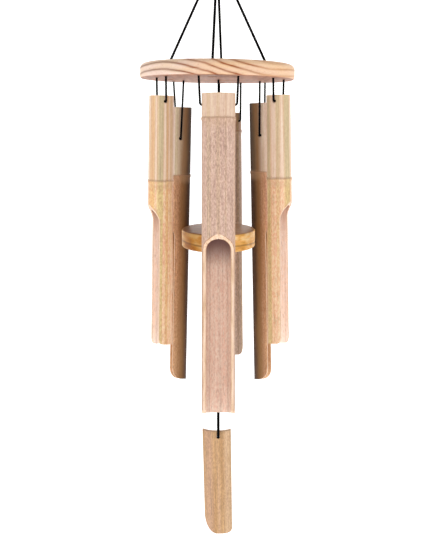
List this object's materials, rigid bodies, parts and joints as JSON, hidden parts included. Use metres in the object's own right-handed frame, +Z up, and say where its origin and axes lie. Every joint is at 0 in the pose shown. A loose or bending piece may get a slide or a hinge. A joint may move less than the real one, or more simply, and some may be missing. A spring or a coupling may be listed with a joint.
{
  "type": "wind chime",
  "caption": "Hanging wind chime: a round wooden board on four cords carries scooped bamboo tubes around a round wooden clapper with a bamboo sail below.",
  "frame": {"origin": "the point inside the top of the hanging ring that rests on a hook", "axes": "+Z up, -Y towards the front of the chime, +X to the right seen from the front"},
  "size_m": [0.125, 0.1295, 0.52],
  "materials": {
    "ring_steel": "polished wire",
    "black_cord": "braided black nylon",
    "pine": "sanded pine, clear satin lacquer",
    "bamboo": "natural bamboo, light satin lacquer",
    "clapper_wood": "golden softwood, satin lacquer",
    "sail_bamboo": "natural bamboo slat, satin lacquer"
  },
  "bodies": {
    "hanging_ring": {"hanging_ring": "ring_steel"},
    "gathering_knot": {"gathering_knot": "black_cord"},
    "board": {"board": "pine", "suspension_cord_1": "black_cord", "suspension_cord_2": "black_cord", "suspension_cord_3": "black_cord", "suspension_cord_4": "black_cord", "tube_tie_front": "black_cord", "tube_tie_left_front": "black_cord", "tube_tie_right_front": "black_cord", "tube_tie_left_back": "black_cord", "tube_tie_right_back": "black_cord", "tube_tie_back": "black_cord", "clapper_stop_knot": "black_cord"},
    "loop_front": {"tube_loop_front": "black_cord"},
    "tube_front": {"tube_front": "bamboo"},
    "loop_left_front": {"tube_loop_left_front": "black_cord"},
    "tube_left_front": {"tube_left_front": "bamboo"},
    "loop_right_front": {"tube_loop_right_front": "black_cord"},
    "tube_right_front": {"tube_right_front": "bamboo"},
    "loop_left_back": {"tube_loop_left_back": "black_cord"},
    "tube_left_back": {"tube_left_back": "bamboo"},
    "loop_right_back": {"tube_loop_right_back": "black_cord"},
    "tube_right_back": {"tube_right_back": "bamboo"},
    "loop_back": {"tube_loop_back": "black_cord"},
    "tube_back": {"tube_back": "bamboo"},
    "clapper_collar": {"clapper_collar_knot": "black_cord"},
    "clapper": {"clapper_cord": "black_cord", "clapper": "clapper_wood"},
    "sail_knot": {"sail_knot": "black_cord"},
    "sail_cord": {"sail_cord": "black_cord"},
    "sail": {"sail": "sail_bamboo"}
  },
  "joints": [
    {"name": "ring_swing", "type": "hinge", "parent": "hanging_ring", "child": "gathering_knot", "pos_m": [0, 0, -0.0168], "axis": [1, 0, 0], "range_deg": [-20, 20]},
    {"name": "board_sway", "type": "hinge", "parent": "gathering_knot", "child": "board", "pos_m": [0, 0, -0.0243], "axis": [0, -1, 0], "range_deg": [-20, 20]},
    {"name": "loop_swing_front", "type": "hinge", "parent": "board", "child": "loop_front", "pos_m": [0.0008, -0.052, -0.12136], "axis": [1, 0, 0], "range_deg": [-20, 3]},
    {"name": "tube_swing_front", "type": "hinge", "parent": "loop_front", "child": "tube_front", "pos_m": [0.0008, -0.052, -0.1422], "axis": [1, 0, 0], "range_deg": [-20, 3.5]},
    {"name": "loop_swing_left_front", "type": "hinge", "parent": "board", "child": "loop_left_front", "pos_m": [-0.0432, -0.028, -0.12078], "axis": [0.4067, -0.9135, 0], "range_deg": [-20, 3.5]},
    {"name": "tube_swing_left_front", "type": "hinge", "parent": "loop_left_front", "child": "tube_left_front", "pos_m": [-0.0432, -0.028, -0.1392], "axis": [0.4067, -0.9135, 0], "range_deg": [-20, 4]},
    {"name": "loop_swing_right_front", "type": "hinge", "parent": "board", "child": "loop_right_front", "pos_m": [0.0476, -0.0245, -0.12197], "axis": [-0.4384, -0.8988, 0], "range_deg": [-3.5, 20]},
    {"name": "tube_swing_right_front", "type": "hinge", "parent": "loop_right_front", "child": "tube_right_front", "pos_m": [0.0476, -0.0245, -0.1388], "axis": [-0.4384, -0.8988, 0], "range_deg": [-4, 20]},
    {"name": "loop_swing_left_back", "type": "hinge", "parent": "board", "child": "loop_left_back", "pos_m": [-0.0332, 0.0307, -0.12091], "axis": [0.4067, -0.9135, 0], "range_deg": [-20, 3]},
    {"name": "tube_swing_left_back", "type": "hinge", "parent": "loop_left_back", "child": "tube_left_back", "pos_m": [-0.0332, 0.0307, -0.1695], "axis": [0.1908, -0.9816, 0], "range_deg": [-20, 3.2]},
    {"name": "loop_swing_right_back", "type": "hinge", "parent": "board", "child": "loop_right_back", "pos_m": [0.0389, 0.028, -0.12186], "axis": [-0.2588, -0.9659, 0], "range_deg": [-2, 20]},
    {"name": "tube_swing_right_back", "type": "hinge", "parent": "loop_right_back", "child": "tube_right_back", "pos_m": [0.0389, 0.028, -0.1666], "axis": [-0.2588, -0.9659, 0], "range_deg": [-3, 20]},
    {"name": "loop_swing_back", "type": "hinge", "parent": "board", "child": "loop_back", "pos_m": [0.0115, 0.0495, -0.1215], "axis": [0.7986, -0.6018, 0], "range_deg": [-2, 20]},
    {"name": "tube_swing_back", "type": "hinge", "parent": "loop_back", "child": "tube_back", "pos_m": [0.0115, 0.0495, -0.1548], "axis": [0.7986, -0.6018, 0], "range_deg": [-2.5, 20]},
    {"name": "clapper_swing", "type": "hinge", "parent": "board", "child": "clapper_collar", "pos_m": [0.001, 0, -0.11856], "axis": [1, 0, 0], "range_deg": [-3.5, 4.5]},
    {"name": "clapper_sway", "type": "hinge", "parent": "clapper_collar", "child": "clapper", "pos_m": [0.001, 0, -0.11856], "axis": [0, -1, 0], "range_deg": [-3.4, 3.8]},
    {"name": "sail_cord_swing", "type": "hinge", "parent": "clapper", "child": "sail_knot", "pos_m": [0.001, 0, -0.2664], "axis": [1, 0, 0], "range_deg": [-12, 12]},
    {"name": "sail_cord_sway", "type": "hinge", "parent": "sail_knot", "child": "sail_cord", "pos_m": [0.001, 0, -0.2664], "axis": [0, -1, 0], "range_deg": [-12, 12]},
    {"name": "sail_turn", "type": "hinge", "parent": "sail_cord", "child": "sail", "pos_m": [0.001, 0, -0.427], "axis": [0, -1, 0], "range_deg": [-25, 25]}
  ]
}
